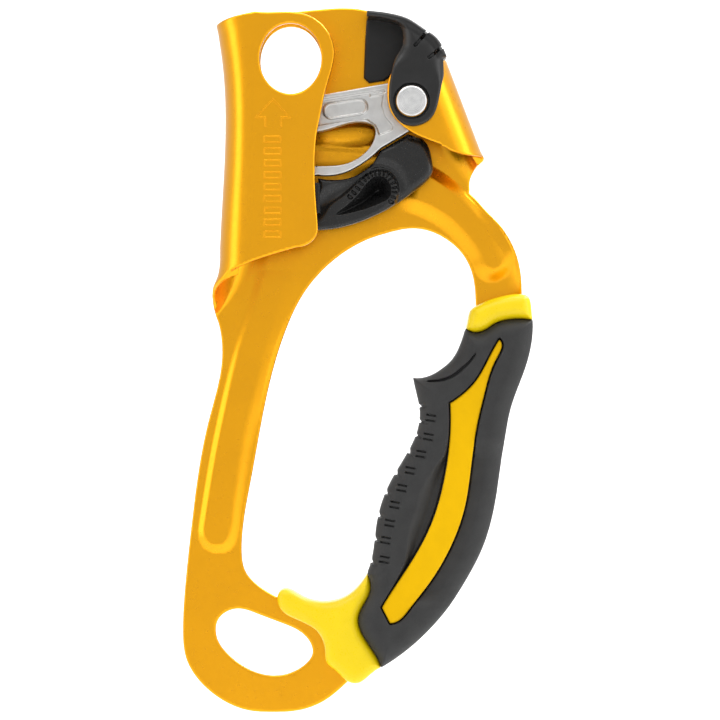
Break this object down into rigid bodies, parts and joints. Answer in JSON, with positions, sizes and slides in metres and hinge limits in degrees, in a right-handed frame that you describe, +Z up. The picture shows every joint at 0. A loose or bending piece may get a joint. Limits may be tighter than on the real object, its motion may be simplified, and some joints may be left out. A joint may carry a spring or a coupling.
{
  "type": "rope ascender",
  "caption": "Handled rope ascender: pressed frame with a rope channel, a sprung toothed cam with a catch, a rubber grip and attachment holes.",
  "frame": {"origin": "on the axis of the rope channel, level with the cam axle", "axes": "+Z up along the rope, +X from the rope channel towards the grip, +Y away from the cam side"},
  "size_m": [0.0984, 0.0335, 0.1981],
  "materials": {
    "anodised_sheet": "satin gold-yellow anodising",
    "axle_steel": "turned",
    "cam_steel": "satin plated casting",
    "spring_steel": "drawn wire",
    "bronze": "plain bearing",
    "washer_plastic": "plain",
    "black_plastic": "fine grain",
    "catch_plastic": "satin",
    "black_rubber": "matt",
    "yellow_plastic": "satin"
  },
  "bodies": {
    "body": {"frame": "anodised_sheet", "cam_axle": "axle_steel", "axle_washer": "axle_steel", "thrust_washer_front": "washer_plastic", "thrust_washer_rear": "washer_plastic", "cam_spring": "spring_steel", "top_pad": "black_plastic", "grip_sleeve": "black_rubber", "grip_inlay_front": "yellow_plastic", "grip_inlay_rear": "yellow_plastic", "upper_collar": "yellow_plastic", "lower_flange": "yellow_plastic"},
    "cam": {"toothed_cam": "cam_steel", "cam_bush": "bronze", "catch_rivet": "axle_steel", "catch_washer": "washer_plastic", "catch_spring": "spring_steel"},
    "catch": {"catch_lever": "catch_plastic"}
  },
  "joints": [
    {"name": "cam_pivot", "type": "hinge", "parent": "body", "child": "cam", "pos_m": [0.0436, 0, 0], "axis": [0, -1, 0], "range_deg": [0, 27], "stiffness_Nm_per_rad": 0.05, "springref_deg": -45.84, "deforming": ["cam_spring"]},
    {"name": "catch_pivot", "type": "hinge", "parent": "cam", "child": "catch", "pos_m": [0.012, 0, -0.025], "axis": [0, 1, 0], "range_deg": [0, 30], "stiffness_Nm_per_rad": 0.01, "springref_deg": -28.65, "deforming": ["catch_spring"]}
  ]
}
